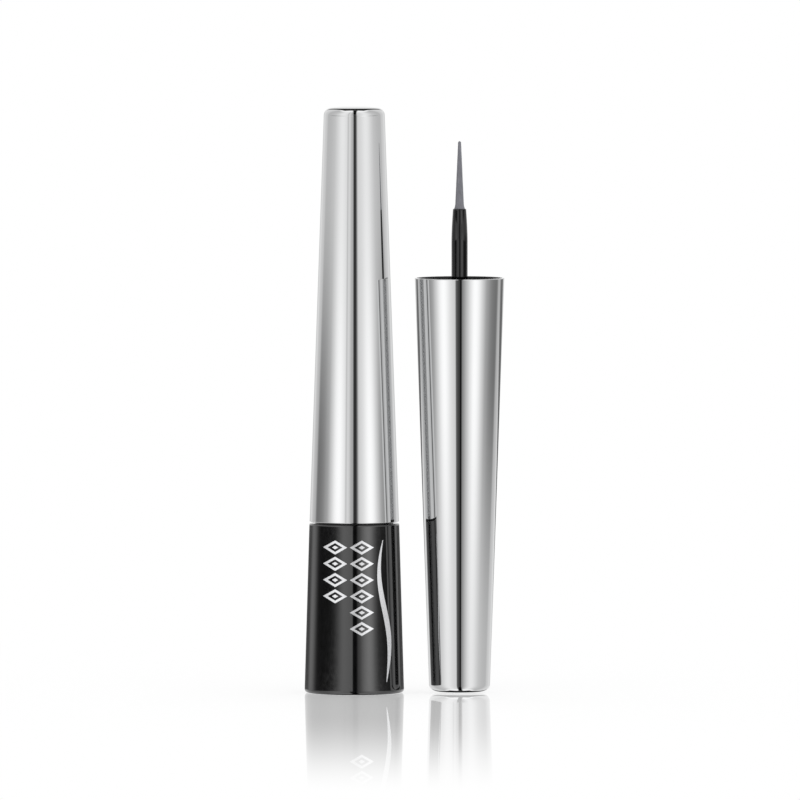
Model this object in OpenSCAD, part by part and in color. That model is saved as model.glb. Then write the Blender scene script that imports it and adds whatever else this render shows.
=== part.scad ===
// Liquid eyeliner pen, closed, with the same kind of cap standing open beside it.
// The black bottle is a moulded sleeve round a vial with a threaded neck and a wiper.
// The mirror-bright cap is a tapered shell with a liner that carries the applicator.
// Millimetres, +Z up, origin at the centre of the bottle's foot.

/* [Bottle sleeve] */
// Height of the bottle from the table to its shoulder
bottle_h = 32.4; // [31:0.2:40]
// Diameter of the sleeve at its foot
foot_d = 19; // [15.5:0.1:22]
// Diameter of the sleeve at the shoulder
shoulder_d = 17.2; // [14.5:0.1:20]
// Wall of the sleeve
sleeve_wall = 1.1; // [0.9:0.05:1.2]
// Floor of the sleeve
sleeve_floor = 1.4; // [1:0.1:2]
// Radius of the rounded edge round the foot
foot_round = 0.7; // [0.3:0.05:0.9]
// Radius of the rounded edge round the shoulder
shoulder_round = 0.3; // [0.1:0.05:0.5]
// Diameter of the shallow recess under the foot
recess_d = 13; // [8:0.5:15]
// Depth of the recess under the foot
recess_depth = 0.3; // [0.1:0.05:0.5]
// Ribs inside the sleeve that centre the vial
sleeve_ribs = 6; // [3:1:10]
// Height of those ribs above the sleeve's floor
sleeve_rib_h = 24; // [10:1:26]
// Width of a rib as an angle
sleeve_rib_angle = 7; // [4:1:12]

/* [Vial] */
// Room between the vial and the sleeve where the sleeve is narrowest
vial_room = 0.45; // [0.3:0.05:0.8]
// Wall of the vial
vial_wall = 1; // [0.8:0.05:1.3]
// Floor of the vial
vial_floor = 1.2; // [0.8:0.1:1.6]
// Radius of the corner round the vial's floor, inside
vial_round = 0.8; // [0.3:0.1:1.2]
// Height of the flange that closes the sleeve's mouth
flange_h = 1.6; // [1.2:0.1:2.2]
// Height of the collar that centres the cap
collar_h = 0.9; // [0.6:0.05:1.2]
// Height of the neck above the shoulder
neck_h = 10.2; // [9:0.2:12]
// Wall of the neck at the root of its thread
neck_wall = 1.2; // [0.9:0.05:1.4]
// Height of the thread's ridge, which the liner has to clear
thread_h = 0.55; // [0.4:0.05:0.7]
// Height over which the vial narrows to the neck's bore, inside
neck_slope_h = 2; // [1.4:0.1:3]
// Radius of the edge round the neck's rim
neck_edge = 0.2; // [0.1:0.05:0.3]

/* [Wiper] */
// Thickness of the wiper's flange, on the neck's rim
wiper_flange_h = 0.6; // [0.4:0.05:0.9]
// Width of that flange outside the neck's bore
wiper_flange_w = 0.8; // [0.5:0.05:0.95]
// Wall of the wiper's tube
wiper_wall = 0.7; // [0.5:0.05:0.9]
// Length of the tube below the neck's rim
wiper_tube_h = 5.6; // [4:0.2:7]
// Length of the cone that narrows to the lip
wiper_cone_h = 2.4; // [1.6:0.1:3]
// Length of the lip that wipes the stem
wiper_lip_h = 0.5; // [0.3:0.05:0.8]
// Wall of the cone and the lip
wiper_lip_wall = 0.35; // [0.25:0.05:0.5]
// Height of the bead that holds the wiper in the neck
bead_h = 0.8; // [0.5:0.05:1.1]
// Width of that bead outside the tube
bead_w = 0.15; // [0.1:0.01:0.2]
// Depth of the bead's middle below the neck's rim
bead_depth = 2.6; // [1.6:0.1:3.4]

/* [Cap shell] */
// Length of the cap
cap_l = 79.3; // [70:0.5:90]
// Diameter of the cap where its crown begins
crown_d = 11.55; // [10.05:0.1:13.95]
// Wall of the cap's shell
cap_wall = 0.7; // [0.6:0.05:0.9]
// Thickness of the crown
crown_wall = 1; // [0.7:0.1:1.5]
// Radius of the crown's edge
crown_round = 1.5; // [0.9:0.1:2]
// Rise of the crown inside that edge
crown_rise = 0.2; // [0.1:0.05:0.45]
// Diameter of the flat on the crown, on which an open cap stands
crown_flat_d = 5.2; // [3:0.2:6]
// Radius of the edge round the mouth
rim_round = 0.15; // [0.05:0.05:0.25]
// Gap that shows between the cap and the shoulder
rim_gap = 0.3; // [0.2:0.05:0.4]
// How far the cap's mouth lies inside the shoulder's outline
flush_step = 0.05; // [0:0.05:0.2]

/* [Cap liner] */
// How far the liner's mouth lies inside the cap's rim
liner_recess = 0.25; // [0.1:0.05:0.4]
// Wall of the liner round the collar
liner_lip_wall = 0.4; // [0.35:0.05:0.6]
// Wall of the liner between its bore and its grip ribs, at the web
liner_wall = 0.9; // [0.7:0.05:1.1]
// Height of the full ring at the liner's mouth
liner_ring_h = 2; // [1.5:0.1:3]
// Gap between the thread's ridge and the liner's bore
thread_gap = 0.2; // [0.15:0.05:0.3]
// Thickness of the web that carries the stem
web_h = 1.2; // [0.9:0.1:1.6]
// Wall of the tube that holds the stem
boss_wall = 1.4; // [1:0.1:1.8]
// Depth of the stem's seat in that tube
boss_depth = 10; // [7:0.5:12]
// Thickness that closes the end of the tube
boss_end = 1; // [0.7:0.1:1.4]
// Height of the liner's skirt above the web
skirt_h = 9; // [6:0.5:11]
// Wall of the skirt
skirt_wall = 0.8; // [0.6:0.05:1]
// Fins between the skirt and the tube
fins = 6; // [3:1:8]
// Width of a fin as an angle
fin_angle = 9; // [6:1:14]
// Ribs that grip the shell
grip_ribs = 12; // [6:1:18]
// Width of a rib as an angle
grip_rib_angle = 6; // [3:1:9]
// Height of a rib
grip_rib_h = 0.25; // [0.15:0.05:0.35]

/* [Seal] */
// Thickness of the foam seal
seal_h = 0.9; // [0.6:0.05:1.2]
// Gap between the seal's edge and the liner's bore
seal_gap = 0.2; // [0.12:0.02:0.26]
// Reach of the bead that traps the seal
seal_bead_w = 0.35; // [0.3:0.05:0.4]
// Height of that bead
seal_bead_h = 0.3; // [0.2:0.05:0.4]

/* [Applicator] */
// Diameter of the stem
stem_d = 3.1; // [2.6:0.1:3.4]
// Diameter of the stem where the tip comes out
ferrule_d = 2.55; // [2.3:0.05:2.7]
// Length over which the stem narrows
ferrule_l = 6.6; // [4:0.2:8]
// Radius of the edge at the stem's end
ferrule_round = 0.2; // [0.1:0.05:0.25]
// Diameter of the stem's flange, under the web
stem_flange_d = 5; // [4.4:0.2:6]
// Thickness of that flange
stem_flange_h = 0.7; // [0.5:0.05:0.85]
// Length of the tip that shows
tip_l = 12.9; // [10:0.5:14]
// Diameter of the tip where it leaves the stem
tip_root_d = 2.1; // [1.8:0.05:2.2]
// Diameter of the tip past its flared root
tip_body_d = 1.64; // [1.4:0.02:1.74]
// Length of the flared root
tip_flare_l = 1.1; // [0.6:0.1:1.6]
// Diameter of the tip at its point
tip_point_d = 0.6; // [0.4:0.02:0.8]
// Diameter of the tip's shank, in the stem
shank_d = 1.4; // [1.1:0.05:1.6]
// Length of that shank
shank_l = 4.5; // [3:0.5:6]
// Room between the tip's point and the vial's floor
tip_room = 4; // [3.4:0.1:5]

/* [Contents] */
// Depth of the ink
ink_h = 20; // [12:0.5:24]
// Room round the applicator in the ink
ink_room = 0.15; // [0.1:0.05:0.3]
// Diameter of the mixing ball
ball_d = 3; // [2:0.25:3.2]
// Room round the mixing ball
ball_room = 0.06; // [0.03:0.01:0.15]

/* [Fits] */
// Gap round a piece that is pressed in
press_gap = 0.02; // [0.01:0.01:0.04]
// Gap round or under a piece that slides or turns
run_gap = 0.05; // [0.03:0.01:0.08]
// Gap between the collar and the liner's mouth
collar_gap = 0.1; // [0.06:0.02:0.2]

/* [Open cap] */
// Distance of the open cap's axis from the pen's
open_cap_x = 20.1; // [18.5:0.1:40]

/* [Hidden] */
$fn = 96;
arc_steps = 8;
overrun = 0.5;
black = [0.06, 0.06, 0.065];
mirror_silver = [0.83, 0.83, 0.84];
natural_white = [0.9, 0.9, 0.87];
felt_grey = [0.46, 0.46, 0.49];
steel = [0.7, 0.7, 0.72];

// Radii and heights of the bottle
sleeve_mouth_r = shoulder_d / 2 - sleeve_wall;
sleeve_bore_r = foot_d / 2 - sleeve_wall;
vial_r = min(sleeve_mouth_r, sleeve_bore_r) - vial_room;
vial_bore_r = vial_r - vial_wall;
vial_floor_z = sleeve_floor + vial_floor;
flange_z = bottle_h - flange_h;
neck_top_z = bottle_h + neck_h;
rim_z = bottle_h + rim_gap;

// Radii of the cap, and heights from its rim towards its crown
cap_mouth_d = shoulder_d - 2 * flush_step;
lip_bore_r = cap_mouth_d / 2 - cap_wall - press_gap - liner_lip_wall;
collar_r = lip_bore_r - collar_gap;
lip_depth = collar_h - rim_gap + collar_gap;
seal_low = neck_h + wiper_flange_h - rim_gap + run_gap;
web_low = seal_low + seal_h + run_gap;
liner_bore_r = shell_bore_r(web_low) - press_gap - grip_rib_h - liner_wall;
neck_r = liner_bore_r - thread_gap - thread_h;
neck_bore_r = neck_r - neck_wall;
web_top = web_low + web_h;
boss_top = web_top + boss_depth;
boss_r = stem_d / 2 + boss_wall;

// Reach of the stem and the tip out of the cap
point_z = vial_floor_z + tip_room;
reach = rim_z - point_z;
stem_reach = reach - tip_l;

function between(a, b, share) = a + (b - a) * share;
function arc(centre, radius, start, end) = [
    for (i = [0:arc_steps])
        let (angle = between(start, end, i / arc_steps))
        centre + radius * [cos(angle), sin(angle)]
];

// Outer radius of the cap, and the bore of its shell, at a height above its rim
function cap_r(height) = between(cap_mouth_d, crown_d, height / cap_l) / 2;
function shell_bore_r(height) = cap_r(height) - cap_wall;

// Bore of the sleeve at a height above the table
function sleeve_bore_at(z) = between(sleeve_bore_r, sleeve_mouth_r, z / flange_z);

// Outline of the stem below the cap's rim, from its axis outwards, grown by room
function stem_outline(room) = concat(
    [[0, -stem_reach - room]],
    arc([ferrule_d / 2 - ferrule_round, -stem_reach + ferrule_round], ferrule_round + room, -90, 0),
    [
        for (i = [1:arc_steps])
            let (share = i / arc_steps)
            [
                between(ferrule_d, stem_d, sin(90 * share)) / 2 + room,
                between(ferrule_round, ferrule_l, share) - stem_reach,
            ]
    ]
);

// Outline of the tip that shows, from its point to its root, grown by room
function tip_outline(room) = concat(
    arc([0, tip_point_d / 2 - reach], tip_point_d / 2 + room, -90, 0),
    [[tip_body_d / 2 + room, -stem_reach - tip_flare_l]],
    [
        for (i = [1:arc_steps])
            let (share = i / arc_steps)
            [
                between(tip_body_d, tip_root_d, share * share) / 2 + room,
                between(-tip_flare_l, 0, share) - stem_reach,
            ]
    ]
);

module turned(outline) rotate_extrude() polygon(outline);

module sector(count, angle)
    for (i = [0:count - 1]) rotate(i * 360 / count - angle / 2) rotate_extrude(angle = angle) children();

module bottle_sleeve() color(black) {
    turned(concat(
        [[0, recess_depth], [recess_d / 2, recess_depth], [recess_d / 2, 0]],
        arc([foot_d / 2 - foot_round, foot_round], foot_round, -90, 0),
        arc([shoulder_d / 2 - shoulder_round, bottle_h - shoulder_round], shoulder_round, 0, 90),
        [
            [sleeve_mouth_r, bottle_h],
            [sleeve_mouth_r, flange_z],
            [sleeve_bore_at(sleeve_floor), sleeve_floor],
            [0, sleeve_floor],
        ]
    ));
    rib_foot = sleeve_floor - sleeve_floor / 4;
    rib_top = sleeve_floor + sleeve_rib_h;
    sector(sleeve_ribs, sleeve_rib_angle) polygon([
        [vial_r + press_gap, rib_foot],
        [sleeve_bore_at(rib_foot) + sleeve_wall / 2, rib_foot],
        [sleeve_bore_at(rib_top) + sleeve_wall / 2, rib_top],
        [vial_r + press_gap, rib_top],
    ]);
}

module bottle_vial() color(black) {
    slope_top = bottle_h - neck_edge;
    groove_r = neck_bore_r + bead_w + press_gap;
    bead_z = neck_top_z - bead_depth;
    turned(concat(
        [
            [0, sleeve_floor],
            [vial_r, sleeve_floor],
            [vial_r, flange_z],
            [sleeve_mouth_r - press_gap, flange_z],
            [sleeve_mouth_r - press_gap, bottle_h],
            [collar_r, bottle_h],
            [collar_r, bottle_h + collar_h],
            [neck_r, bottle_h + collar_h],
        ],
        arc([neck_r - neck_edge, neck_top_z - neck_edge], neck_edge, 0, 90),
        [
            [neck_bore_r, neck_top_z],
            [neck_bore_r, bead_z + bead_h / 2],
            [groove_r, bead_z],
            [neck_bore_r, bead_z - bead_h / 2],
            [neck_bore_r, slope_top],
            [vial_bore_r, slope_top - neck_slope_h],
        ],
        arc([vial_bore_r - vial_round, vial_floor_z + vial_round], vial_round, 0, -90),
        [[0, vial_floor_z]]
    ));
}

module neck_wiper() color(natural_white) {
    outer_r = neck_bore_r - press_gap;
    inner_r = outer_r - wiper_wall;
    lip_r = stem_d / 2 + run_gap;
    flange_r = neck_bore_r + wiper_flange_w;
    flange_top = neck_top_z + wiper_flange_h;
    tube_low = neck_top_z - wiper_tube_h;
    cone_low = tube_low - wiper_cone_h;
    lip_low = cone_low - wiper_lip_h;
    bead_z = neck_top_z - bead_depth;
    turned([
        [flange_r, neck_top_z],
        [flange_r, flange_top],
        [inner_r + wiper_wall / 2, flange_top],
        [inner_r, flange_top - wiper_flange_h],
        [inner_r, tube_low + wiper_lip_wall],
        [lip_r, cone_low + wiper_lip_wall],
        [lip_r, lip_low],
        [lip_r + wiper_lip_wall, lip_low],
        [lip_r + wiper_lip_wall, cone_low],
        [outer_r, tube_low],
        [outer_r, bead_z - bead_h / 2],
        [outer_r + bead_w, bead_z],
        [outer_r, bead_z + bead_h / 2],
        [outer_r, neck_top_z],
    ]);
}

module ink_fill() color(black) {
    ink_r = vial_bore_r - press_gap;
    ink_low = vial_floor_z + press_gap;
    difference() {
        turned(concat(
            [[0, ink_low]],
            arc([ink_r - vial_round, ink_low + vial_round], vial_round, -90, 0),
            [[ink_r, vial_floor_z + ink_h], [0, vial_floor_z + ink_h]]
        ));
        translate([0, 0, rim_z]) {
            turned(concat(stem_outline(ink_room), [[stem_d / 2 + ink_room, overrun], [0, overrun]]));
            turned(concat(tip_outline(ink_room), [[0, -stem_reach]]));
        }
        translate(ball_centre()) sphere(d = ball_d + 2 * ball_room);
    }
}

function ball_centre() = [
    vial_bore_r - ball_d / 2 - 2 * ball_room,
    0,
    vial_floor_z + ball_d / 2 + 2 * ball_room,
];

module mixing_ball() color(steel) translate(ball_centre()) sphere(d = ball_d);

// The cap's pieces are drawn with the rim at zero and the crown upwards
module cap_shell_piece() color(mirror_silver) {
    taper = atan((cap_mouth_d - crown_d) / 2 / cap_l);
    edge_z = cap_l - crown_rise - crown_round;
    edge_r = cap_r(edge_z) - crown_round / cos(taper);
    dome = atan(crown_rise / (edge_r - crown_flat_d / 2));
    inner_top = cap_l - crown_rise - crown_wall;
    inner_edge = inner_top - crown_round / 2;
    turned(concat(
        [
            [shell_bore_r(0), 0],
            [cap_r(0) - rim_round, 0],
            [cap_r(rim_round), rim_round],
        ],
        arc([edge_r, edge_z], crown_round, taper, 90 - dome),
        [
            [crown_flat_d / 2, cap_l],
            [0, cap_l],
            [0, inner_top],
            [shell_bore_r(inner_edge) - crown_round / 2, inner_top],
            [shell_bore_r(inner_edge), inner_edge],
        ]
    ));
}

module cap_liner_piece() color(black) {
    skirt_top = web_top + skirt_h;
    ring_top = liner_recess + liner_ring_h;
    bead_top = seal_low - run_gap;
    bead_low = bead_top - seal_bead_h;
    bead_r = liner_bore_r - seal_bead_w;
    body_gap = press_gap + grip_rib_h;
    fin_low = web_top - web_h / 2;
    turned([
        [lip_bore_r, liner_recess],
        [shell_bore_r(liner_recess) - press_gap, liner_recess],
        [shell_bore_r(ring_top) - press_gap, ring_top],
        [shell_bore_r(ring_top) - body_gap, ring_top],
        [shell_bore_r(skirt_top) - body_gap, skirt_top],
        [shell_bore_r(skirt_top) - body_gap - skirt_wall, skirt_top],
        [shell_bore_r(web_top) - body_gap - skirt_wall, web_top],
        [boss_r, web_top],
        [boss_r, boss_top + boss_end],
        [0, boss_top + boss_end],
        [0, boss_top],
        [stem_d / 2 + press_gap, boss_top],
        [stem_d / 2 + press_gap, web_low],
        [liner_bore_r, web_low],
        [liner_bore_r, bead_top],
        [bead_r, bead_top - seal_bead_h / 3],
        [bead_r, bead_low + seal_bead_h / 3],
        [liner_bore_r, bead_low],
        [liner_bore_r, lip_depth + liner_recess],
        [lip_bore_r, lip_depth],
    ]);
    sector(fins, fin_angle) polygon([
        [boss_r - boss_wall / 2, fin_low],
        [shell_bore_r(fin_low) - body_gap - skirt_wall / 2, fin_low],
        [shell_bore_r(skirt_top) - body_gap - skirt_wall / 2, skirt_top],
        [boss_r - boss_wall / 2, skirt_top],
    ]);
    sector(grip_ribs, grip_rib_angle) polygon([
        [shell_bore_r(ring_top) - body_gap - skirt_wall / 2, ring_top - liner_ring_h / 2],
        [shell_bore_r(ring_top) - press_gap, ring_top - liner_ring_h / 2],
        [shell_bore_r(skirt_top) - press_gap, skirt_top],
        [shell_bore_r(skirt_top) - body_gap - skirt_wall / 2, skirt_top],
    ]);
}

module cap_seal_piece() color(natural_white) {
    inner_r = stem_flange_d / 2 + run_gap;
    outer_r = liner_bore_r - seal_gap;
    turned([
        [inner_r, seal_low],
        [outer_r, seal_low],
        [outer_r, seal_low + seal_h],
        [inner_r, seal_low + seal_h],
    ]);
}

module stem_piece() color(black) {
    socket_r = shank_d / 2 + press_gap;
    socket_top = shank_l + press_gap - stem_reach;
    difference() {
        turned(concat(
            stem_outline(0),
            [
                [stem_d / 2, web_low - stem_flange_h],
                [stem_flange_d / 2, web_low - stem_flange_h],
                [stem_flange_d / 2, web_low],
                [stem_d / 2, web_low],
                [stem_d / 2, boss_top - press_gap],
                [0, boss_top - press_gap],
            ]
        ));
        turned([
            [0, -stem_reach - overrun],
            [socket_r, -stem_reach - overrun],
            [socket_r, socket_top],
            [0, socket_top],
        ]);
    }
}

module tip_piece() color(felt_grey)
    turned(concat(
        tip_outline(0),
        [
            [shank_d / 2, -stem_reach],
            [shank_d / 2, shank_l - stem_reach],
            [0, shank_l - stem_reach],
        ]
    ));

module on_bottle() translate([0, 0, rim_z]) children();
module on_its_crown() translate([open_cap_x, 0, cap_l]) rotate([180, 0, 0]) children();

bottle_sleeve();
bottle_vial();
neck_wiper();
ink_fill();
mixing_ball();
on_bottle() cap_shell_piece();  // cap_shell
on_bottle() cap_liner_piece();  // cap_liner
on_bottle() cap_seal_piece();  // cap_seal
on_bottle() stem_piece();  // applicator_stem
on_bottle() tip_piece();  // applicator_tip
on_its_crown() cap_shell_piece();  // open_cap_shell
on_its_crown() cap_liner_piece();  // open_cap_liner
on_its_crown() cap_seal_piece();  // open_cap_seal
on_its_crown() stem_piece();  // open_applicator_stem
on_its_crown() tip_piece();  // open_applicator_tip
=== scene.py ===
"""Looks of the liquid eyeliner pen and of the cap that stands open beside it.

The turned pieces are made again with fine facets for a mirror finish. The threads, the foil
print and the fibres of the tips are added, and the floor, the light and the camera are set.
Pieces are drawn in millimetres. The studio is in metres, and so are the lengths in materials.
"""

import math

import bmesh
import bpy
from mathutils import Matrix, Vector
from mathutils import noise as coherent_noise


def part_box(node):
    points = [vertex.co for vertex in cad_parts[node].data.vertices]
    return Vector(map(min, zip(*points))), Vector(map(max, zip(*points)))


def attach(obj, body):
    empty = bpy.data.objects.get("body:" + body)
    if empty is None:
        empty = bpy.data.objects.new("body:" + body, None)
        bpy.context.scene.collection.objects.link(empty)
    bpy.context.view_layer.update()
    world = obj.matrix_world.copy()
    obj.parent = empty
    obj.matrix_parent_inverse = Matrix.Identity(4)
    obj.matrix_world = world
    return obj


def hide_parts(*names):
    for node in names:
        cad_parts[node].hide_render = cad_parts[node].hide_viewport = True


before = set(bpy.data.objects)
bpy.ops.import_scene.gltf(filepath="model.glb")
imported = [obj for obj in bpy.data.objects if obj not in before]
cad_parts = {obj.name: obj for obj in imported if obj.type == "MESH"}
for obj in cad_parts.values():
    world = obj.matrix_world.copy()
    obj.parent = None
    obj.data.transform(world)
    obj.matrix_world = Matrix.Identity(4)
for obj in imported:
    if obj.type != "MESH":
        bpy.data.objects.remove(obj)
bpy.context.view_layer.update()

MM = 0.001
FULL_TURN = 2 * math.pi

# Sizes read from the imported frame


def corners(node):
    """Low and high corner of a node's box, in millimetres."""
    low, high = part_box(node)
    return low / MM, high / MM


_, sleeve_high = corners("bottle_sleeve")
shell_low, shell_high = corners("cap_shell")
seal_low, seal_high = corners("cap_seal")
stem_low, _ = corners("applicator_stem")
tip_low, _ = corners("applicator_tip")
open_low, open_high = corners("open_cap_shell")

foot_r = sleeve_high.x
bottle_h = sleeve_high.z
rim_z = shell_low.z
cap_l = shell_high.z - shell_low.z
mouth_r = shell_high.x
open_x = (open_low.x + open_high.x) / 2
stem_reach = rim_z - stem_low.z
tip_reach = rim_z - tip_low.z
seal_depth = seal_low.z - rim_z
seal_h = seal_high.z - seal_low.z

# Sizes of the pen that the frame's boxes don't give, as in the part's source
flush_step = 0.05
shoulder_r = mouth_r + flush_step
sleeve_wall = 1.1
sleeve_floor = 1.4
foot_round = 0.7
shoulder_round = 0.3
recess_r = 6.5
recess_depth = 0.3
flange_h = 1.6
collar_h = 0.9
crown_r = 5.775
cap_wall = 0.7
crown_wall = 1.0
crown_round = 1.5
crown_rise = 0.2
crown_flat_r = 2.6
rim_round = 0.15
thread_h = 0.55
neck_wall = 1.2
thread_gap = 0.2
liner_wall = 0.9
grip_rib_h = 0.25
press_gap = 0.02
run_gap = 0.05
stem_r = 1.55
stem_top = 22.6
ferrule_r = 1.275
ferrule_l = 6.6
ferrule_round = 0.2
stem_flange_r = 2.5
stem_flange_h = 0.7
tip_root_r = 1.05
tip_body_r = 0.82
tip_flare_l = 1.1
tip_point_r = 0.3
shank_r = 0.7
shank_l = 4.5


def between(a, b, share):
    return a + (b - a) * share


def smooth(share):
    share = min(max(share, 0), 1)
    return share * share * (3 - 2 * share)


def cap_r(height):
    """Outer radius of the cap at a height above its rim."""
    return between(mouth_r, crown_r, height / cap_l)


web_low = seal_depth + seal_h + run_gap
liner_bore_r = cap_r(web_low) - cap_wall - press_gap - grip_rib_h - liner_wall
neck_r = liner_bore_r - thread_gap - thread_h

# Screw thread on the neck and in the liners, which the CAD leaves out
thread_pitch = 2.2
thread_base_w = 1.15
thread_crest_w = 0.45
crest_bevel = 0.06
crest_edge_share = 0.92
thread_sink = 0.08
thread_fade_turns = 0.22
# In radians from the X axis
thread_start_angle = 0.4
thread_steps_per_turn = 96
neck_thread_turns = 1.75
neck_thread_rise = 1.3
neck_thread_z = bottle_h + collar_h + neck_thread_rise
liner_thread_turns = 1.5
liner_thread_h = 0.5
# Height above the rim. Half a pitch sets each ridge between the turns of the other
liner_thread_z = neck_thread_z - rim_z + thread_pitch / 2


# Mesh helpers

# Distance from each end of a straight stretch to the point that keeps its shading straight
edge_hold = 0.03
# Faces that turn by more than this meet in a sharp edge
crease_angle = math.radians(35)
# A point of an outline that is nearer to the axis than this lies on it
axis_tolerance = 1e-6


def steps_to_one(count):
    """Equal shares that end with 1 and leave out 0."""
    return [i / count for i in range(1, count + 1)]


def arc(centre, radius, start, end, steps=12):
    """Points of an arc of an outline, with its angles in degrees from the radial direction."""
    angles = [math.radians(between(start, end, i / steps)) for i in range(steps + 1)]
    return [(centre[0] + radius * math.cos(a), centre[1] + radius * math.sin(a)) for a in angles]


def straight(start, end, steps):
    """Points of a straight stretch, with one more close to each end for its shading."""
    hold = edge_hold / math.dist(start, end)
    shares = [0, hold] + steps_to_one(steps)[:-1] + [1 - hold, 1]
    return [(between(start[0], end[0], share), between(start[1], end[1], share)) for share in shares]


def join_rings(build, lower, upper):
    """Faces between two closed rings of points. A ring may be one point."""
    count = max(len(lower), len(upper))
    if count == 1:
        return
    for i in range(count):
        j = (i + 1) % count
        face = [lower[i % len(lower)], lower[j % len(lower)], upper[j % len(upper)], upper[i % len(upper)]]
        build.faces.new(dict.fromkeys(face))


def skin(build, rings, closed):
    """Faces along a row of rings, which closes to a loop or has a face at each end."""
    for lower, upper in zip(rings, rings[1:] + rings[:1] if closed else rings[1:]):
        join_rings(build, lower, upper)
    if not closed:
        build.faces.new(rings[0])
        build.faces.new(rings[-1])


def add_to_scene(name, data):
    made = bpy.data.objects.new(name, data)
    bpy.context.scene.collection.objects.link(made)
    return made


def add_piece(name, build, place=None):
    """The object of a form that was built in millimetres."""
    bmesh.ops.recalc_face_normals(build, faces=build.faces)
    mesh = bpy.data.meshes.new(name)
    build.to_mesh(mesh)
    build.free()
    mesh.transform(Matrix.Scale(MM, 4))
    if place is not None:
        mesh.transform(place)
    for polygon in mesh.polygons:
        polygon.use_smooth = True
    mesh.set_sharp_from_angle(angle=crease_angle)
    return add_to_scene(name, mesh)


def lathe(name, outline, place=None, segments=256, shape=None):
    """A turned piece from an outline of (radius, height) points. shape may move its points."""
    build = bmesh.new()
    rings = []
    for radius, height in outline:
        ring = []
        for i in range(1 if radius < axis_tolerance else segments):
            angle = FULL_TURN * i / segments
            point = Vector((radius * math.cos(angle), radius * math.sin(angle), height))
            ring.append(build.verts.new(shape(point, angle) if shape else point))
        rings.append(ring)
    skin(build, rings, closed=True)
    return add_piece(name, build, place)


def ridge(name, root_r, height, turns, start_z, place=None):
    """A thread's ridge. It stands out of root_r by height, inwards if that is negative."""
    build = bmesh.new()
    rings = []
    count = round(thread_steps_per_turn * turns)
    for i in range(count + 1):
        turn = turns * i / count
        angle = thread_start_angle + FULL_TURN * turn
        fade = smooth(turn / thread_fade_turns) * smooth((turns - turn) / thread_fade_turns)
        rise = height * fade
        z = start_z + thread_pitch * turn
        half_section = [
            (-math.copysign(thread_sink, height), thread_base_w / 2),
            (rise * crest_edge_share, thread_crest_w / 2 + crest_bevel),
            (rise, thread_crest_w / 2 - crest_bevel),
        ]
        section = [(out, -up) for out, up in half_section] + half_section[::-1]
        rings.append([
            build.verts.new(((root_r + out) * math.cos(angle), (root_r + out) * math.sin(angle), z + up))
            for out, up in section
        ])
    skin(build, rings, closed=False)
    return add_piece(name, build, place)


on_bottle = Matrix.Translation((0, 0, rim_z * MM))
on_its_crown = Matrix.Translation((open_x * MM, 0, cap_l * MM)) @ Matrix.Rotation(math.pi, 4, "X")


# Node helpers


def set_or_link(tree, socket, value):
    if isinstance(value, bpy.types.NodeSocket):
        tree.links.new(value, socket)
    else:
        socket.default_value = value


def set_inputs(tree, node, **values):
    """Sets or links a node's inputs, whose names have _ for a space."""
    for name, value in values.items():
        set_or_link(tree, node.inputs[name.replace("_", " ")], value)


def new_material(name, **values):
    """A material, its node tree and its Principled shader with the given inputs."""
    made = bpy.data.materials.new(name)
    made.use_nodes = True
    shader = made.node_tree.nodes["Principled BSDF"]
    set_inputs(made.node_tree, shader, **values)
    return made, made.node_tree, shader


def own_place(tree):
    """A point's place in its object's own space."""
    return tree.nodes.new("ShaderNodeTexCoord").outputs["Object"]


def parts_of(tree, vector):
    """The x, y and z of a vector."""
    split = tree.nodes.new("ShaderNodeSeparateXYZ")
    tree.links.new(vector, split.inputs["Vector"])
    return split.outputs


def add_noise(tree, scale, detail, stretch=(1, 1, 1)):
    """A noise whose scale is in cells per metre, in the piece's own space."""
    mapping = tree.nodes.new("ShaderNodeMapping")
    texture = tree.nodes.new("ShaderNodeTexNoise")
    set_inputs(tree, mapping, Vector=own_place(tree), Scale=stretch)
    set_inputs(tree, texture, Vector=mapping.outputs["Vector"], Scale=scale, Detail=detail)
    return texture.outputs["Fac"]


def add_cells(tree, scale):
    """Distance from the centres of small cells, whose scale is in cells per metre."""
    texture = tree.nodes.new("ShaderNodeTexVoronoi")
    set_inputs(tree, texture, Vector=own_place(tree), Scale=scale)
    return texture.outputs["Distance"]


def remap(tree, value, low, high, start=0.3, end=0.7, kind="LINEAR"):
    """value from start to end becomes low to high. Most of a noise lies from 0.3 to 0.7."""
    node = tree.nodes.new("ShaderNodeMapRange")
    node.interpolation_type = kind
    set_inputs(tree, node, Value=value, From_Min=start, From_Max=end, To_Min=low, To_Max=high)
    return node.outputs["Result"]


def math_node(tree, operation, *values):
    node = tree.nodes.new("ShaderNodeMath")
    node.operation = operation
    for socket, value in zip(node.inputs, values):
        set_or_link(tree, socket, value)
    return node.outputs["Value"]


def times(tree, first, second):
    return math_node(tree, "MULTIPLY", first, second)


def mix_levels(tree, factor, first, second):
    node = tree.nodes.new("ShaderNodeMix")
    for socket, value in zip((node.inputs[0], node.inputs[2], node.inputs[3]), (factor, first, second)):
        set_or_link(tree, socket, value)
    return node.outputs[0]


def blend_colours(tree, factor, first, second):
    node = tree.nodes.new("ShaderNodeMix")
    node.data_type = "RGBA"
    for socket, value in zip((node.inputs[0], node.inputs[6], node.inputs[7]), (factor, first, second)):
        set_or_link(tree, socket, value)
    return node.outputs[2]


def mottle(tree, value, dark, pale, start=0.3, end=0.7):
    """Colour from dark to pale as value goes from start to end."""
    return blend_colours(tree, remap(tree, value, 0, 1, start, end), dark, pale)


def add_bump(tree, shader, height, depth):
    """A bump of a depth in metres."""
    bump = tree.nodes.new("ShaderNodeBump")
    set_inputs(tree, bump, Strength=1, Distance=depth, Height=height)
    tree.links.new(bump.outputs["Normal"], shader.inputs["Normal"])


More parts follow.
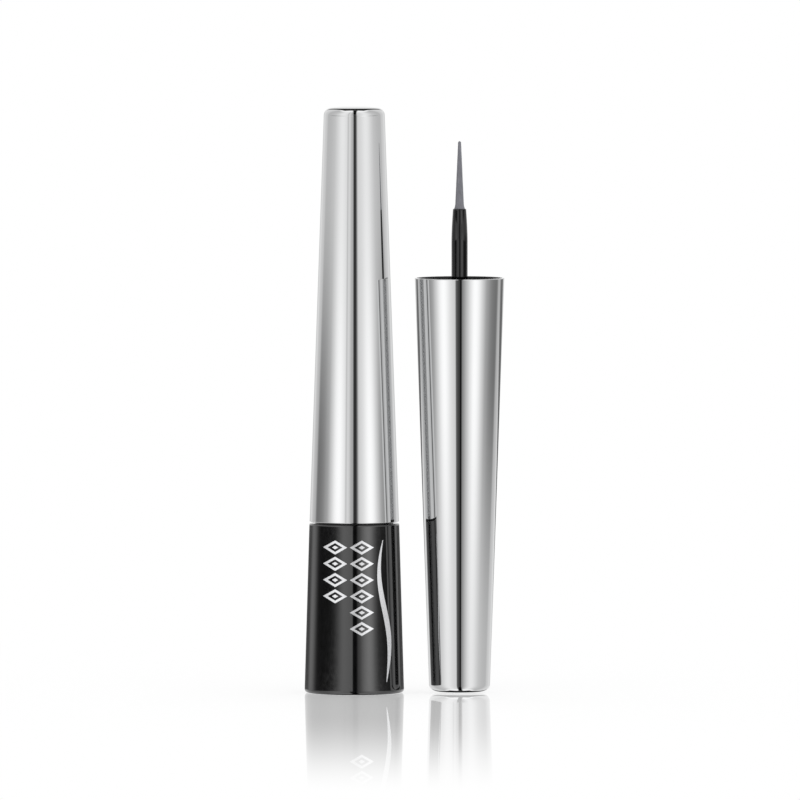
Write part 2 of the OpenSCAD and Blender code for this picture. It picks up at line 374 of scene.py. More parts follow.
def distance_from_axis(tree, axis_x):
    """Distance of a point of a piece from a pen's axis."""
    x, y, _ = parts_of(tree, own_place(tree))
    across = math_node(tree, "SUBTRACT", x, axis_x * MM)
    squares = [times(tree, part, part) for part in (across, y)]
    return math_node(tree, "SQRT", math_node(tree, "ADD", *squares))


def ink_share(tree, axis_x, noise, wander, whole_r, end_r):
    """Ink round an axis: whole up to one radius and gone from another, with a ragged edge."""
    ragged = remap(tree, noise, -wander * MM, wander * MM)
    edge = math_node(tree, "ADD", distance_from_axis(tree, axis_x), ragged)
    return remap(tree, edge, 1, 0, whole_r * MM, end_r * MM, "SMOOTHSTEP")


# Materials

mirror_coat = (0.65, 0.653, 0.656, 1)
bare_plastic = (0.012, 0.012, 0.013, 1)
# Roughness of the bare plastic over that of the coat
bare_roughness = 0.3
# Ink on the wiper: how far inside the bore it is whole, where it ends, and how far its edge wanders
film_whole_inset = 0.8
film_end_inset = 0.5
film_wander = 0.1
# Ink on the foam seals, with radii from the stem's axis
stain_whole_r = 2.9
stain_end_r = 3.9
stain_wander = 0.5


def mirror_silver(name, axis_x, rim_height, upwards):
    """Mirror coat outside a shell, and bare plastic inside from the middle of the rim on.

    upwards is 1 where the crown is over the rim and -1 where it is under it.
    """
    made, tree, shader = new_material(name)
    away = distance_from_axis(tree, axis_x)
    _, _, z = parts_of(tree, own_place(tree))
    height = times(tree, math_node(tree, "SUBTRACT", z, rim_height * MM), upwards)
    rim_middle_r = (mouth_r - cap_wall / 2) * MM
    crown_middle_r = (crown_r - cap_wall / 2) * MM
    middle_r = remap(tree, height, rim_middle_r, crown_middle_r, 0, cap_l * MM)
    within = math_node(tree, "LESS_THAN", away, middle_r)
    under_crown = math_node(tree, "LESS_THAN", height, (cap_l - crown_rise - crown_wall / 2) * MM)
    bare = times(tree, within, under_crown)
    haze = remap(tree, add_noise(tree, scale=900, detail=4), 0.012, 0.03)
    set_inputs(
        tree, shader, Base_Color=blend_colours(tree, bare, mirror_coat, bare_plastic),
        Metallic=math_node(tree, "SUBTRACT", 1, bare),
        Roughness=math_node(tree, "MULTIPLY_ADD", bare, bare_roughness, haze),
    )
    add_bump(tree, shader, add_noise(tree, scale=240, detail=2), depth=1e-6)
    return made


def silver_foil():
    made, tree, shader = new_material("silver_foil", Metallic=0.55, Base_Color=(0.8, 0.805, 0.82, 1))
    grain = add_noise(tree, scale=9000, detail=4)
    set_inputs(tree, shader, Roughness=remap(tree, grain, 0.24, 0.34))
    add_bump(tree, shader, grain, depth=1.5e-6)
    return made


def gloss_black(name, ior):
    made, tree, shader = new_material(name, IOR=ior)
    cloud = add_noise(tree, scale=700, detail=3)
    haze = add_noise(tree, scale=1200, detail=4)
    set_inputs(
        tree, shader, Base_Color=mottle(tree, cloud, (0.0012, 0.0012, 0.0013, 1), (0.003, 0.003, 0.0033, 1)),
        Roughness=remap(tree, haze, 0.03, 0.06),
    )
    add_bump(tree, shader, add_noise(tree, scale=350, detail=2), depth=8e-7)
    return made


def satin_black():
    made, tree, shader = new_material("moulded_black", IOR=1.5)
    grain = add_noise(tree, scale=3500, detail=5)
    set_inputs(
        tree, shader, Base_Color=mottle(tree, grain, (0.008, 0.008, 0.009, 1), (0.016, 0.016, 0.017, 1)),
        Roughness=remap(tree, grain, 0.26, 0.4),
    )
    add_bump(tree, shader, grain, depth=6e-6)
    return made


def natural_wiper():
    """Natural plastic, with a film of ink inside the lip and round the bore."""
    made, tree, shader = new_material("natural_wiper", IOR=1.5)
    grain = add_noise(tree, scale=2600, detail=4)
    plain = mottle(tree, grain, (0.78, 0.78, 0.74, 1), (0.86, 0.86, 0.83, 1))
    bore_r = neck_r - neck_wall
    waves = add_noise(tree, scale=500, detail=2)
    ink = ink_share(tree, 0, waves, film_wander, bore_r - film_whole_inset, bore_r - film_end_inset)
    set_inputs(
        tree, shader, Base_Color=blend_colours(tree, ink, plain, (0.012, 0.012, 0.014, 1)),
        Roughness=remap(tree, ink, 0.34, 0.1, 0, 1),
    )
    add_bump(tree, shader, grain, depth=5e-6)
    return made


def black_ink():
    made, tree, shader = new_material("black_ink", IOR=1.36)
    swirl = add_noise(tree, scale=500, detail=3)
    set_inputs(
        tree, shader, Base_Color=mottle(tree, swirl, (0.004, 0.004, 0.005, 1), (0.012, 0.012, 0.016, 1)),
        Roughness=remap(tree, swirl, 0.03, 0.07),
    )
    add_bump(tree, shader, swirl, depth=2e-5)
    return made


def ball_steel():
    made, tree, shader = new_material("ball_steel", Metallic=1, Base_Color=(0.66, 0.66, 0.68, 1))
    scuff = add_noise(tree, scale=5200, detail=5)
    set_inputs(tree, shader, Roughness=remap(tree, scuff, 0.08, 0.24))
    add_bump(tree, shader, scuff, depth=3e-6)
    return made


def white_foam(name, axis_x):
    """Closed-cell foam, stained by ink near the stem."""
    made, tree, shader = new_material(name, Roughness=0.75, Sheen_Weight=0.15)
    cells = add_cells(tree, scale=3400)
    plain = mottle(tree, cells, (0.6, 0.6, 0.58, 1), (0.86, 0.86, 0.84, 1), 0, 0.8)
    blots = add_noise(tree, scale=1500, detail=4)
    ink = ink_share(tree, axis_x, blots, stain_wander, stain_whole_r, stain_end_r)
    set_inputs(tree, shader, Base_Color=blend_colours(tree, ink, plain, (0.02, 0.02, 0.022, 1)))
    add_bump(tree, shader, cells, depth=6e-5)
    return made


def felt(name, dark, pale, roughness, sheen, depth):
    """Bonded fibres that run along the tip."""
    made, tree, shader = new_material(name, Sheen_Weight=sheen, Sheen_Roughness=0.5)
    fibres = add_noise(tree, scale=5200, detail=6, stretch=(1, 1, 0.16))
    clumps = add_noise(tree, scale=1500, detail=3, stretch=(1, 1, 0.5))
    tone = mottle(tree, fibres, dark, pale, 0.32, 0.68)
    tone = blend_colours(tree, remap(tree, clumps, 0, 0.35), tone, dark)
    set_inputs(tree, shader, Base_Color=tone, Roughness=remap(tree, fibres, *roughness))
    add_bump(tree, shader, fibres, depth)
    return made


materials = {
    "mirror": mirror_silver("mirror_silver", axis_x=0, rim_height=rim_z, upwards=1),
    "open_mirror": mirror_silver("mirror_silver_open", axis_x=open_x, rim_height=cap_l, upwards=-1),
    "foil": silver_foil(),
    "sleeve": gloss_black("gloss_black_shell", ior=1.8),
    "stem": gloss_black("gloss_black_stem", ior=1.5),
    "moulded": satin_black(),
    "wiper": natural_wiper(),
    "ink": black_ink(),
    "ball": ball_steel(),
    "seal": white_foam("white_foam", axis_x=0),
    "open_seal": white_foam("white_foam_open", axis_x=open_x),
    "open_tip": felt(
        "grey_felt", dark=(0.145, 0.146, 0.162, 1), pale=(0.228, 0.229, 0.254, 1),
        roughness=(0.7, 0.95), sheen=0.07, depth=2.5e-5,
    ),
    "tip": felt(
        "inked_felt", dark=(0.006, 0.006, 0.007, 1), pale=(0.02, 0.02, 0.022, 1),
        roughness=(0.16, 0.4), sheen=0, depth=1.5e-5,
    ),
}


def set_material(piece, material):
    piece.data.materials.clear()
    piece.data.materials.append(material)


def dress(piece, material, body, slot, *nodes):
    """Gives a piece its material and its body, and hides the CAD nodes that it stands for. slot is not used.
    """
    set_material(piece, material)
    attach(piece, body)
    if nodes:
        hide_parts(*nodes)
    return piece


def finish_node(node, material):
    """A CAD node that stays gets a better material."""
    set_material(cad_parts[node], material)


# Bottle


def sleeve_r(z):
    """Outer radius of the sleeve's side at a height."""
    return between(foot_r, shoulder_r, (z - foot_round) / (bottle_h - shoulder_round - foot_round))


def sleeve_outline():
    """The sleeve, closed at the foot, with a shallow recess under it and a straight mouth."""
    mouth = shoulder_r - sleeve_wall
    flange_z = bottle_h - flange_h
    bore = between(foot_r - sleeve_wall, mouth, sleeve_floor / flange_z)
    side_low = (foot_r, foot_round)
    side_high = (shoulder_r, bottle_h - shoulder_round)
    return (
        [(0, recess_depth), (recess_r - recess_depth, recess_depth)]
        + arc((recess_r - recess_depth, 0), recess_depth, 90, 0, steps=6)[1:-1]
        + [(recess_r, 0)]
        + arc((foot_r - foot_round, foot_round), foot_round, -90, 0)
        + straight(side_low, side_high, steps=24)[1:-1]
        + arc((shoulder_r - shoulder_round, bottle_h - shoulder_round), shoulder_round, 0, 90)
        + [(mouth, bottle_h), (mouth, flange_z), (bore, sleeve_floor), (0, sleeve_floor)]
    )


dress(lathe("sleeve", sleeve_outline()), materials["sleeve"], "bottle", "gloss_black_shell", "bottle_sleeve")
finish_node("bottle_vial", materials["moulded"])
finish_node("neck_wiper", materials["wiper"])
finish_node("ink_fill", materials["ink"])
finish_node("mixing_ball", materials["ball"])
neck_thread = ridge("neck_thread", neck_r, thread_h, neck_thread_turns, neck_thread_z)
dress(neck_thread, materials["moulded"], "bottle", "moulded_black")


# Foil print: lozenges in two columns and a tapering stripe, laid on the front of the sleeve

foil_lift = 0.02
foil_sink = 0.02
foil_top_z = 29.5

lozenge_w = 4.6
lozenge_h = 2.7
lozenge_pitch = 3.1
lozenge_steps = 10
lozenge_line_share = 0.62
lozenge_heart_share = 0.26
heart_point_shares = (-0.98, -0.5, 0, 0.5, 0.98)
# Middle of each column of lozenges, and how many it has
lozenge_columns = ((-3.65, 4), (1.45, 6))

stripe_top_x = 5.45
stripe_lean = 0.75
stripe_bend = 0.95
stripe_bend_loss_share = 0.35
stripe_h = 27.1
stripe_w = 0.95
stripe_steps = 72
# The stripe ends at this share of a half wave, and a power under 1 fills out its taper
stripe_end_share = 0.02
stripe_taper_power = 0.8


def on_sleeve(x, z, lift):
    radius = sleeve_r(z) + lift
    return x, -math.sqrt(radius * radius - x * x), z


def foil_band(build, first_edge, second_edge, closed):
    """A raised band between two edges, which are lists of (x, z) seen from the front."""
    rings = []
    for first, second in zip(first_edge, second_edge):
        middle = (between(first[0], second[0], 0.5), between(first[1], second[1], 0.5))
        section = [
            (first, -foil_sink), (first, foil_lift), (middle, foil_lift),
            (second, foil_lift), (second, -foil_sink), (middle, -foil_sink),
        ]
        rings.append([build.verts.new(on_sleeve(*at, lift)) for at, lift in section])
    skin(build, rings, closed)


def lozenge_edge(centre, half_w, half_h):
    """Points round a lozenge, from its right corner."""
    tips = [(half_w, 0), (0, half_h), (-half_w, 0), (0, -half_h)]
    shares = [i / lozenge_steps for i in range(lozenge_steps)]
    return [
        (centre[0] + between(a[0], b[0], share), centre[1] + between(a[1], b[1], share))
        for a, b in zip(tips, tips[1:] + tips[:1])
        for share in shares
    ]


def add_lozenge(build, centre):
    """A line round a lozenge, and a small lozenge at its heart."""
    half_w, half_h = lozenge_w / 2, lozenge_h / 2
    outer = lozenge_edge(centre, half_w, half_h)
    inner = lozenge_edge(centre, half_w * lozenge_line_share, half_h * lozenge_line_share)
    foil_band(build, outer, inner, closed=True)
    heart_w, heart_h = half_w * lozenge_heart_share, half_h * lozenge_heart_share
    upper = [(centre[0] + heart_w * s, centre[1] + heart_h * (1 - abs(s))) for s in heart_point_shares]
    lower = [(x, 2 * centre[1] - z) for x, z in upper]
    foil_band(build, upper, lower, closed=False)


def stripe_centre(share):
    """Middle of the stripe from its top to its low end: a slow S that leans outwards as it goes down."""
    bend = stripe_bend * math.sin(FULL_TURN * share) * (1 - stripe_bend_loss_share * share)
    return stripe_top_x + stripe_lean * share - bend, foil_top_z - stripe_h * share


def add_stripe(build):
    left, right = [], []
    for i in range(stripe_steps + 1):
        share = i / stripe_steps
        x, z = stripe_centre(share)
        along = between(stripe_end_share, 1 - stripe_end_share, share)
        half = stripe_w / 2 * math.sin(math.pi * along) ** stripe_taper_power
        left.append((x - half, z))
        right.append((x + half, z))
    foil_band(build, left, right, closed=False)


def foil_print():
    build = bmesh.new()
    for column_x, count in lozenge_columns:
        for i in range(count):
            add_lozenge(build, (column_x, foil_top_z - lozenge_h / 2 - lozenge_pitch * i))
    add_stripe(build)
    return add_piece("foil_print", build)


dress(foil_print(), materials["foil"], "bottle", "silver_foil")


# Caps, drawn rim down with the applicator under it

crown_steps = 24
ferrule_steps = 24
flare_steps = 12
fibre_depth = 0.022
# The fibres follow a noise: the radius of a ring in it, and its cells per millimetre along the tip
fibre_ring_r = 3.2
fibre_cells_per_mm = 0.9


def shell_outline():
    """A cap's shell, with a rounded rim, an even taper and a flat on its low crown dome."""
    taper = math.atan((mouth_r - crown_r) / cap_l)
    edge_z = cap_l - crown_rise - crown_round
    edge_r = cap_r(edge_z) - crown_round / math.cos(taper)
    inner_top = cap_l - crown_rise - crown_wall
    inner_edge = inner_top - crown_round / 2
    bore = mouth_r - cap_wall
    inner_r = cap_r(inner_edge) - cap_wall
    dome = math.atan(crown_rise / (edge_r - crown_flat_r))
    crown = arc((edge_r, edge_z), crown_round, math.degrees(taper), 90 - math.degrees(dome), crown_steps)
    return (
        [(bore, rim_round / 2), (bore + rim_round / 2, 0), (mouth_r - rim_round, 0)]
        + arc((mouth_r - rim_round, rim_round), rim_round, -90, 0, steps=8)[1:-1]
        + straight((cap_r(rim_round), rim_round), crown[0], steps=60)[:-1]
        + crown
        + [(crown_flat_r, cap_l), (0, cap_l), (0, inner_top), (inner_r - crown_round / 2, inner_top)]
        + [(inner_r, inner_edge)]
    )


def stem_outline():
    """The stem, with the hole for the tip's shank and the rounded ferrule at its end."""
    shank_end = shank_l - stem_reach
    side = [
        (
            between(ferrule_r, stem_r, math.sin(math.pi / 2 * share)),
            between(ferrule_round, ferrule_l, share) - stem_reach,
        )
        for share in steps_to_one(ferrule_steps)
    ]
    return (
        [(0, shank_end), (shank_r, shank_end), (shank_r, -stem_reach)]
        + arc((ferrule_r - ferrule_round, ferrule_round - stem_reach), ferrule_round, -90, 0, steps=8)
        + side
        + [
            (stem_r, web_low - stem_flange_h),
            (stem_flange_r, web_low - stem_flange_h),
            (stem_flange_r, web_low),
            (stem_r, web_low),
            (stem_r, stem_top),
            (0, stem_top),
        ]
    )


def tip_outline():
    """A felt tip: a round point, a slow taper, a flare at the ferrule and a shank in the stem."""
    shank_end = shank_l - stem_reach
    taper_top = -stem_reach - tip_flare_l
    point = arc((0, tip_point_r - tip_reach), tip_point_r, -90, 0, steps=10)
    body = straight(point[-1], (tip_body_r, taper_top), steps=120)[1:]
    flare = [
        (between(tip_body_r, tip_root_r, share ** 2), between(taper_top, -stem_reach, share))
        for share in steps_to_one(flare_steps)
    ]
    return point + body + flare + [(shank_r, -stem_reach), (shank_r, shank_end), (0, shank_end)]


def fibrous(point, angle):
    """Moves a point of the tip's skin in by up to the depth of its fibres, which run along it."""
    reach = Vector((math.cos(angle), math.sin(angle), 0))
    place = Vector((fibre_ring_r * reach.x, fibre_ring_r * reach.y, fibre_cells_per_mm * point.z))
    return point - reach * fibre_depth * (0.5 + 0.5 * coherent_noise.noise(place))


for prefix, body, place in (("", "cap", on_bottle), ("open_", "open_cap", on_its_crown)):
    shell = lathe(prefix + "shell", shell_outline(), place)
    dress(shell, materials[prefix + "mirror"], body, "mirror_silver", prefix + "cap_shell")
    stem = lathe(prefix + "stem", stem_outline(), place, segments=128)
    dress(stem, materials["stem"], body, "gloss_black_stem", prefix + "applicator_stem")
    tip = lathe(prefix + "tip", tip_outline(), place, segments=64, shape=fibrous)
    tip_slot = "grey_felt" if prefix else "inked_felt"
    dress(tip, materials[prefix + "tip"], body, tip_slot, prefix + "applicator_tip")
    thread = ridge(
        prefix + "liner_thread", liner_bore_r, -liner_thread_h,
        liner_thread_turns, liner_thread_z, place,
    )
    dress(thread, materials["moulded"], body, "moulded_black")
    finish_node(prefix + "cap_liner", materials["moulded"])
    finish_node(prefix + "cap_seal", materials[prefix + "seal"])


# Camera

photo_size = 800
photo_mm_per_pixel = 0.191
pen_axis_x_pixel = 354.3
pen_foot_y_pixel = 692.6
camera_elevation = math.radians(2.6)
camera_distance = 4.0
sensor_width = 36
frame_width = photo_size * photo_mm_per_pixel * MM
aim = Vector((
    (photo_size / 2 - pen_axis_x_pixel) * photo_mm_per_pixel * MM,
    0,
    (pen_foot_y_pixel - photo_size / 2) * photo_mm_per_pixel * MM / math.cos(camera_elevation),
))
back = Vector((0, -math.cos(camera_elevation), math.sin(camera_elevation)))
lens_place = aim + back * camera_distance


def add_camera():
    data = bpy.data.cameras.new("camera")
    data.sensor_width = sensor_width
    data.lens = sensor_width * camera_distance / frame_width
    data.clip_start = 0.1
    data.clip_end = 20
    camera = add_to_scene("camera", data)
    camera.location = lens_place
    camera.rotation_mode = "QUATERNION"
    camera.rotation_quaternion = (-back).to_track_quat("-Z", "Y")
    bpy.context.scene.camera = camera


add_camera()
bpy.context.scene.view_settings.view_transform = "Standard"


# Studio: a wide drum of light round the pens, called the tent, which only mirrors see

tent_x = open_x / 2 * MM
tent_radius = 2.4
tent_low = -0.4
tent_high = 0.4

# Slopes of the sides, which decide how high up the tent each side looks
cap_slope = (mouth_r - crown_r) / cap_l
bottle_slope = (foot_r - shoulder_r) / bottle_h
# Half of the height in which one zone of the tent passes into the next
zone_blur = 0.002
# The upright stem sees the tent from this height on
stem_zone_low = -0.02
# The ferrule sees the tent between these heights and, fading out, at these turns
ferrule_zone = (0.25, 0.34)
ferrule_turns = (80, 110)
# Behind the pens the caps' light goes down to a grey wall. Past it is a white strip for the floor
back_wall_turns = (150, 162)
back_wall_level = 0.74
far_back_turns = (173, 175)
far_back_level = 1.0

# Brightest level that a curve of light can hold
panel_top = 2.0
# An even haze softens the panels towards each crown, between these heights on the caps
haze_level = 1.0
haze_share = 0.6
cap_haze_heights = (0.04, 0.101)
open_haze_heights = (0.003, 0.0655)

# What each mirror keeps of the light, and the level that the third mirror image and later see
mirror_tone = mirror_coat[0]
repeat_level = 0.5
# Glossy Depth is more than this from the second mirror image on, and from the third
past_first_image = 1.5
past_second_image = 2.5

# Light levels round the tent, as (degrees, level). Two soft panels stand beside the lens, with grey
# walls past them and a pale back. The lens looks in through a dark gap.
panel_stops = [
    (0, 0.88), (14, 0.94), (28, 1.22), (43, 1.5), (58, 1.16), (72, 0.66), (86, 0.4),
    (108, 0.25), (117, 0.32), (121, 0.56), (130, 0.68), (137, 0.75), (146, 0.92), (180, 0.92),
]
cap_gap_stops = [
    (-180, 1), (-26, 1), (-22.3, 0.7), (-19.8, 0.93), (-17, 1), (-13.5, 0.93), (-9, 0.7), (-4.2, 0.63),
    (-2, 0.05), (4.2, 0.05), (6.2, 0.13), (8.4, 0.4), (11.8, 0.97), (15, 1), (180, 1),
]
open_gap_stops = [
    (-180, 1), (-11.5, 1), (-9.5, 0.2), (-4, 0.1), (1.4, 0.05), (2.2, 0.004), (5.2, 0.004), (7, 0.35),
    (9.4, 0.44), (18.4, 0.72), (28, 0.93), (38, 1), (180, 1),
]
bottle_stops = [
    (-180, 0.15), (-146, 0.18), (-139, 0.28), (-132, 0.56), (-126, 0.8), (-116, 0.8), (-109, 0.5),
    (-103, 0.22), (-96, 0.07), (-70, 0.05), (-58, 0.08), (-48, 0.25), (-38, 0.68), (-28, 1.14),
    (-12, 1.06), (0, 1.0), (14, 1.08), (28, 1.6), (38, 1.8), (48, 1.1), (58, 0.4), (70, 0.17),
    (82, 0.1), (97, 0.1), (103, 0.3), (111, 0.72), (119, 0.92), (126, 0.78), (132, 0.48),
    (138, 0.24), (146, 0.18), (180, 0.15),
]
bottle_gap_stops = [
    (-180, 1), (-5, 1), (-3, 0.02), (5, 0.02), (9.4, 0.45), (14, 0.6), (19, 0.85), (26, 1), (180, 1),
]


def stage_material(name):
    """A material with an empty node tree."""
    made = bpy.data.materials.new(name)
    made.use_nodes = True
    made.node_tree.nodes.clear()
    return made, made.node_tree


def white_shader(tree, kind):
    """A shader node of a kind, in white."""
    node = tree.nodes.new(kind)
    node.inputs["Color"].default_value = (1, 1, 1, 1)
    return node


def mix_shaders(tree, factor, first, second):
    node = tree.nodes.new("ShaderNodeMixShader")
    for socket, value in zip(node.inputs, (factor, first.outputs[0], second.outputs[0])):
        tree.links.new(value, socket)
    return node


def set_output(tree, kind, shader):
    tree.links.new(shader.outputs[0], tree.nodes.new(kind).inputs["Surface"])


def rise_at(tree, value, at, blur):
    return remap(tree, value, 0, 1, at - blur, at + blur, "SMOOTHSTEP")


def fall_at(tree, value, at, blur):
    return remap(tree, value, 1, 0, at - blur, at + blur, "SMOOTHSTEP")


def size_of(tree, value):
    """A value without its sign."""
    return math_node(tree, "ABSOLUTE", value)


def turn_of(tree, x, y):
    """Angle round an upright axis from the direction of the lens, positive to the right."""
    return math_node(tree, "ARCTAN2", x, times(tree, y, -1))


def fade_by_turn(tree, turn, low, high, turns):
    """A level that goes from low to high between two turns in degrees."""
    return remap(tree, turn, low, high, *map(math.radians, turns), "SMOOTHSTEP")


def turn_curve(tree, turn, stops, top, kind):
    """Levels round the tent, up to top. Stops are (degrees, level)."""
    first, last = stops[0][0], stops[-1][0]
    node = tree.nodes.new("ShaderNodeValToRGB")
    ramp = node.color_ramp
    ramp.interpolation = kind
    ramp.elements[0].position, ramp.elements[1].position = 0, 1
    for degrees, _ in stops[1:-1]:
        ramp.elements.new((degrees - first) / (last - first))
    for element, (_, level) in zip(ramp.elements, stops):
        element.color = (level / top, level / top, level / top, 1)
    share = remap(tree, turn, 0, 1, math.radians(first), math.radians(last))
    tree.links.new(share, node.inputs["Fac"])
    return times(tree, node.outputs["Color"], top)


def light_curve(tree, turn, stops):
    """Soft light of the panels and walls."""
    return turn_curve(tree, turn, stops, panel_top, "CARDINAL")


def with_gap(tree, turn, stops, level):
    """A level with the dark gap of the lens cut out of it."""
    return times(tree, level, turn_curve(tree, turn, stops, 1, "LINEAR"))


def glossy_depth(tree):
    """How many mirrors a ray has met."""
    return tree.nodes.new("ShaderNodeLightPath").outputs["Glossy Depth"]


def calm_repeats(tree, level):
    """The third mirror image and later see one even level, with each mirror's loss made up."""
    depth = glossy_depth(tree)
    gain = math_node(tree, "POWER", 1 / mirror_tone, math_node(tree, "SUBTRACT", depth, 2))
    repeated = math_node(tree, "GREATER_THAN", depth, past_second_image)
    return mix_levels(tree, repeated, level, times(tree, gain, repeat_level))


def tent_material():
    """Light of the tent, in zones one above the other.

    A surface that leans back sees the tent higher up. So the closed cap, the bottle and the open
    cap, which all taper, each see a zone of their own, and the ferrule sees one over them. The
    zones shift with the share by which such a surface faces the lens. A second mirror image sees
    the closed cap's light at every height.
    """
    made, tree = stage_material("studio_tent")
    x, y, height = parts_of(tree, own_place(tree))
    turn = turn_of(tree, x, y)
    either_side = size_of(tree, turn)
    towards_lens = times(tree, y, -1 / tent_radius)
    facing = math_node(tree, "SQRT", math_node(tree, "MULTIPLY_ADD", towards_lens, 0.5, 0.5))
    reach = tent_radius / -lens_place.y
    level_z = math_node(tree, "ADD", height, reach * lens_place.z)

    def height_shown(lean):
        """Height on a surface of this lean, whose mirror image shows this point of the tent."""
        raised = math_node(tree, "MULTIPLY_ADD", facing, -2 * lean * tent_radius, level_z)
        return math_node(tree, "DIVIDE", raised, 1 + reach)

    panels = light_curve(tree, either_side, panel_stops)
    back_wall = fade_by_turn(tree, either_side, 1, back_wall_level, back_wall_turns)
    cap_haze = remap(tree, height_shown(cap_slope), 0, haze_share, *cap_haze_heights, "SMOOTHSTEP")
    cap_light = with_gap(tree, turn, cap_gap_stops, mix_levels(tree, cap_haze, panels, haze_level))
    open_haze = remap(tree, height_shown(-cap_slope), haze_share, 0, *open_haze_heights, "SMOOTHSTEP")
    open_light = with_gap(tree, turn, open_gap_stops, mix_levels(tree, open_haze, panels, haze_level))
    bottle_light = with_gap(tree, turn, bottle_gap_stops, light_curve(tree, turn, bottle_stops))

    over_seam = rise_at(tree, height_shown((cap_slope + bottle_slope) / 2), bottle_h * MM, zone_blur)
    over_low = rise_at(tree, height, ferrule_zone[0], zone_blur)
    under_high = fall_at(tree, height, ferrule_zone[1], zone_blur)
    beside_lens = fade_by_turn(tree, either_side, 1, 0, ferrule_turns)
    on_ferrule = times(tree, times(tree, over_low, under_high), beside_lens)
    over_foot = rise_at(tree, height_shown(bottle_slope), -zone_blur, zone_blur)
    over_open_cap = math_node(tree, "MAXIMUM", over_foot, rise_at(tree, height, stem_zone_low, zone_blur))
    far_back = fade_by_turn(tree, either_side, 0, 1, far_back_turns)
    level = mix_levels(tree, over_seam, bottle_light, times(tree, cap_light, back_wall))
    level = mix_levels(tree, on_ferrule, level, bottle_light)
    level = mix_levels(tree, over_open_cap, times(tree, open_light, back_wall), level)
    level = mix_levels(tree, far_back, level, far_back_level)

    once_more = with_gap(tree, turn, cap_gap_stops, mix_levels(tree, haze_share, panels, haze_level))
    second_image = math_node(tree, "GREATER_THAN", glossy_depth(tree), past_first_image)
    level = calm_repeats(tree, mix_levels(tree, second_image, level, once_more))
    glow = white_shader(tree, "ShaderNodeEmission")
    tree.links.new(level, glow.inputs["Strength"])
    clear = white_shader(tree, "ShaderNodeBsdfTransparent")
    outside = tree.nodes.new("ShaderNodeNewGeometry").outputs["Backfacing"]
    set_output(tree, "ShaderNodeOutputMaterial", mix_shaders(tree, outside, glow, clear))
    return made


def add_tent():
    """An upright drum round the stage, which only mirrors see, and only from within."""
    mesh = bpy.data.meshes.new("studio_tent")
    build = bmesh.new()
    bmesh.ops.create_cone(
        build, cap_ends=False, segments=360,
        radius1=tent_radius, radius2=tent_radius, depth=tent_high - tent_low,
    )
    bmesh.ops.translate(build, verts=build.verts, vec=(0, 0, (tent_high + tent_low) / 2))
    bmesh.ops.reverse_faces(build, faces=build.faces)
    build.to_mesh(mesh)
    build.free()
    mesh.materials.append(tent_material())
    tent = add_to_scene("studio_tent", mesh)
    tent.location.x = tent_x
    tent.visible_camera = False
    tent.visible_diffuse = False
    tent.visible_transmission = False
    tent.visible_shadow = False


# White gloss sheet: it mirrors the pens, most at their feet and at a grazing look, and keeps their shadow

sheet_half_w = 8
# The sheet lies a little under the feet, so that the two don't touch
sheet_drop = 2e-5
sheet_ior = 1.5
sheet_roughness = 0.01
# Share that the sheet mirrors at the feet, and what its gloss alone would mirror as the lens sees it
mirror_share = 0.52
grazing_share = 0.713
# Distances at which the mirror image starts to fade and is gone, and the same for the shadow
mirror_fade = (0.07, 0.3)
shadow_share = 0.35
shadow_fade = (0.03, 0.16)


def floor_material():
    made, tree = stage_material("studio_floor")
    length = tree.nodes.new("ShaderNodeVectorMath")
    length.operation = "LENGTH"
    tree.links.new(own_place(tree), length.inputs[0])
    distance = length.outputs["Value"]
    glow = white_shader(tree, "ShaderNodeEmission")
    diffuse = white_shader(tree, "ShaderNodeBsdfDiffuse")
    body = mix_shaders(tree, remap(tree, distance, shadow_share, 0, *shadow_fade), glow, diffuse)
    gloss = white_shader(tree, "ShaderNodeBsdfGlossy")
    gloss.inputs["Roughness"].default_value = sheet_roughness
    fresnel = tree.nodes.new("ShaderNodeFresnel")
    fresnel.inputs["IOR"].default_value = sheet_ior
    near = remap(tree, distance, mirror_share / grazing_share, 0, *mirror_fade, "SMOOTHSTEP")
    mirrored = times(tree, fresnel.outputs["Fac"], near)
    set_output(tree, "ShaderNodeOutputMaterial", mix_shaders(tree, mirrored, body, gloss))
    return made


def add_floor():
    mesh = bpy.data.meshes.new("studio_floor")
    half = sheet_half_w
    square = [(-half, -half, 0), (half, -half, 0), (half, half, 0), (-half, half, 0)]
    mesh.from_pydata(square, [], [(0, 1, 2, 3)])
    mesh.materials.append(floor_material())
    floor = add_to_scene("studio_floor", mesh)
    floor.location = (tent_x, 0, -sheet_drop)
    floor.visible_glossy = False


# World: places are parts of a mirrored direction, from -1 to 1

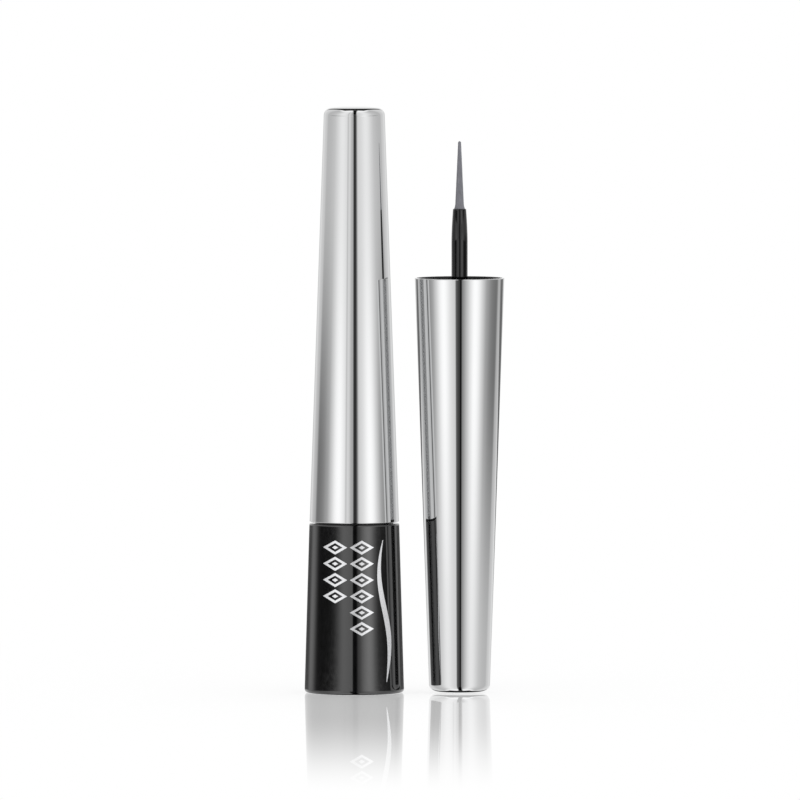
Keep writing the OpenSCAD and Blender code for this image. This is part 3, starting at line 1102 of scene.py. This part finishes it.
# A dark arch frames the pale back, high up and low down
arch_near_y = 0.07
arch_far_y = 0.9
arch_x = 0.34
arch_z = 0.25
arch_level = 0.04
# Near the top and the bottom the light is brighter, and the dark gap of the lens grows wide
bright_z = 0.87
bright_level = 1.35
wide_gap_x = 0.035
wide_gap_half_w = 0.08
wide_gap_z = 0.5
world_blur = 0.04


def set_world():
    """Even white light. Mirrors see it as the tent's light going on above and below the tent."""
    world = bpy.data.worlds.new("studio_world")
    bpy.context.scene.world = world
    world.use_nodes = True
    tree = world.node_tree
    tree.nodes.clear()

    def rise(value, at):
        return rise_at(tree, value, at, world_blur)

    def fall(value, at):
        return fall_at(tree, value, at, world_blur)

    x, y, z = parts_of(tree, tree.nodes.new("ShaderNodeTexCoord").outputs["Generated"])
    off_level = size_of(tree, z)
    turn = turn_of(tree, x, y)
    panels = light_curve(tree, size_of(tree, turn), panel_stops)
    level = mix_levels(tree, haze_share, panels, haze_level)
    level = mix_levels(tree, rise(off_level, bright_z), level, bright_level)
    level = mix_levels(
        tree, math_node(tree, "GREATER_THAN", z, 0),
        with_gap(tree, turn, open_gap_stops, level), with_gap(tree, turn, cap_gap_stops, level),
    )
    beside_gap = rise(size_of(tree, math_node(tree, "SUBTRACT", x, wide_gap_x)), wide_gap_half_w)
    in_front = times(tree, rise(off_level, wide_gap_z), fall(y, arch_near_y))
    level = times(tree, level, mix_levels(tree, in_front, 1, beside_gap))
    arch = times(
        tree, times(tree, rise(y, arch_near_y), fall(y, arch_far_y)),
        times(tree, fall(size_of(tree, x), arch_x), rise(off_level, arch_z)),
    )
    level = mix_levels(tree, arch, level, arch_level)
    mirrored = white_shader(tree, "ShaderNodeBackground")
    tree.links.new(calm_repeats(tree, level), mirrored.inputs["Strength"])
    plain = white_shader(tree, "ShaderNodeBackground")
    by_mirror = tree.nodes.new("ShaderNodeLightPath").outputs["Is Glossy Ray"]
    set_output(tree, "ShaderNodeOutputWorld", mix_shaders(tree, by_mirror, plain, mirrored))


add_tent()
add_floor()
set_world()
